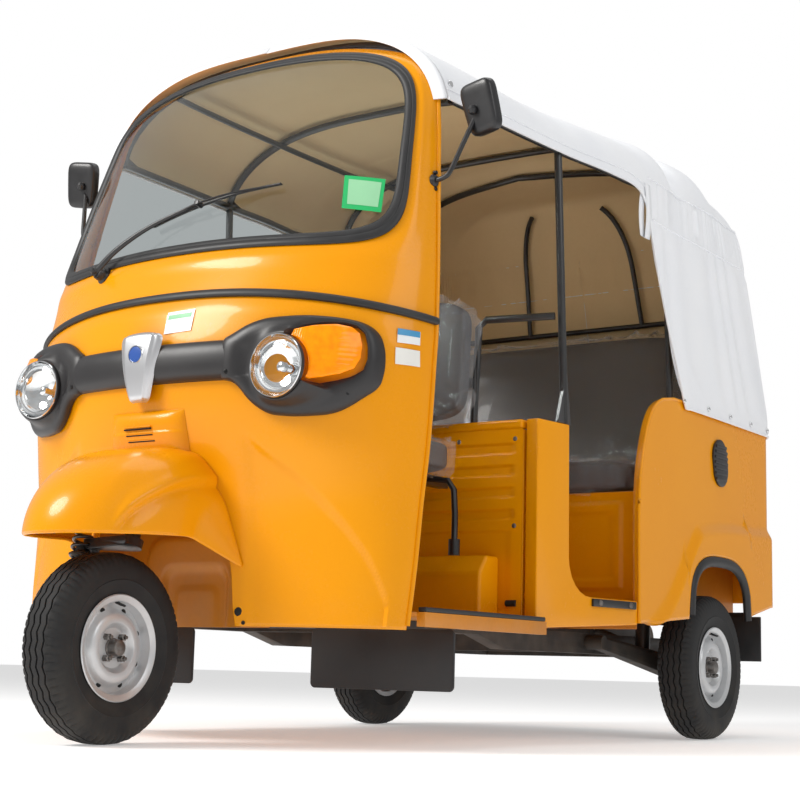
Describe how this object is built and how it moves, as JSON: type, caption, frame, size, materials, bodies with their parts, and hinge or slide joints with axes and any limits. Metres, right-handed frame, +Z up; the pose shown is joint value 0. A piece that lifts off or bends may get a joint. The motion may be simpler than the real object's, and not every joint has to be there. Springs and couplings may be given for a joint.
{
  "type": "auto rickshaw",
  "caption": "Passenger three-wheeler with a pressed-steel cab and tub, open sides, a cloth canopy, turning wheels, steering and a rear engine hatch.",
  "frame": {"origin": "on the ground, at the middle of the length and of the width", "axes": "front towards -Y, the vehicle's left side +X, +Z up"},
  "size_m": [1.5592, 2.87, 1.9845],
  "materials": {
    "cab_paint": "gloss enamel",
    "windscreen_glass": "clear",
    "seal_rubber": "satin",
    "flap_rubber": "matt",
    "trim_plastic": "fine grain",
    "lamp_lens": "fluted clear",
    "amber_lens": "fluted amber",
    "red_lens": "fluted red",
    "silver_plastic": "satin silver",
    "black_steel": "satin black",
    "seat_cover": "vinyl cloth under clear wrap",
    "canopy_cloth": "coated cloth",
    "engine_metal": "as cast",
    "exhaust_steel": "heat dulled",
    "tyre_rubber": "matt",
    "rim_metal": "silver"
  },
  "bodies": {
    "body": {"front_cowl": "cab_paint", "windscreen_frame": "cab_paint", "front_mudguard": "cab_paint", "wheel_well": "cab_paint", "floor_pan": "cab_paint", "partition": "cab_paint", "seat_box": "cab_paint", "entry_posts": "cab_paint", "tub_side_left": "cab_paint", "tub_side_right": "cab_paint", "tub_back": "cab_paint", "seat_base": "cab_paint", "windscreen": "windscreen_glass", "windscreen_seal": "seal_rubber", "belt_moulding": "seal_rubber", "entry_edging": "seal_rubber", "arch_trims": "seal_rubber", "mudflaps": "flap_rubber", "mask_bar": "trim_plastic", "lamp_surrounds": "trim_plastic", "dashboard": "trim_plastic", "mirrors": "trim_plastic", "side_vents": "trim_plastic", "step_plates": "trim_plastic", "headlamps": "lamp_lens", "indicators": "amber_lens", "tail_lamps": "red_lens", "nose_plate": "silver_plastic", "wiper": "black_steel", "chassis_frame": "black_steel", "seat_frame": "black_steel", "hand_lever": "black_steel", "canopy_frame": "black_steel", "rear_arms": "black_steel", "rear_dampers": "black_steel", "driver_seat": "seat_cover", "driver_backrest": "seat_cover", "passenger_seat": "seat_cover", "passenger_backrest": "seat_cover", "canopy": "canopy_cloth", "engine": "engine_metal", "silencer": "exhaust_steel"},
    "steering": {"steering_column": "black_steel", "handlebar": "black_steel", "fork_arm": "black_steel", "front_damper": "black_steel"},
    "front_wheel": {"front_tyre": "tyre_rubber", "front_rim": "rim_metal"},
    "rear_left_wheel": {"rear_left_tyre": "tyre_rubber", "rear_left_rim": "rim_metal"},
    "rear_right_wheel": {"rear_right_tyre": "tyre_rubber", "rear_right_rim": "rim_metal"},
    "hatch": {"engine_hatch": "cab_paint"}
  },
  "joints": [
    {"name": "steering_turn", "type": "hinge", "parent": "body", "child": "steering", "pos_m": [0, -1.1275, 0.5], "axis": [0, 0.2756, 0.9613], "range_deg": [-36, 36]},
    {"name": "front_wheel_spin", "type": "hinge", "parent": "steering", "child": "front_wheel", "pos_m": [0, -1.2075, 0.23], "axis": [1, 0, 0], "continuous": true},
    {"name": "rear_left_spin", "type": "hinge", "parent": "body", "child": "rear_left_wheel", "pos_m": [0.64, 0.8825, 0.23], "axis": [1, 0, 0], "continuous": true},
    {"name": "rear_right_spin", "type": "hinge", "parent": "body", "child": "rear_right_wheel", "pos_m": [-0.64, 0.8825, 0.23], "axis": [1, 0, 0], "continuous": true},
    {"name": "engine_hatch_lift", "type": "hinge", "parent": "body", "child": "hatch", "pos_m": [0, 1.4125, 0.998], "axis": [1, 0, 0], "range_deg": [0, 80]}
  ]
}
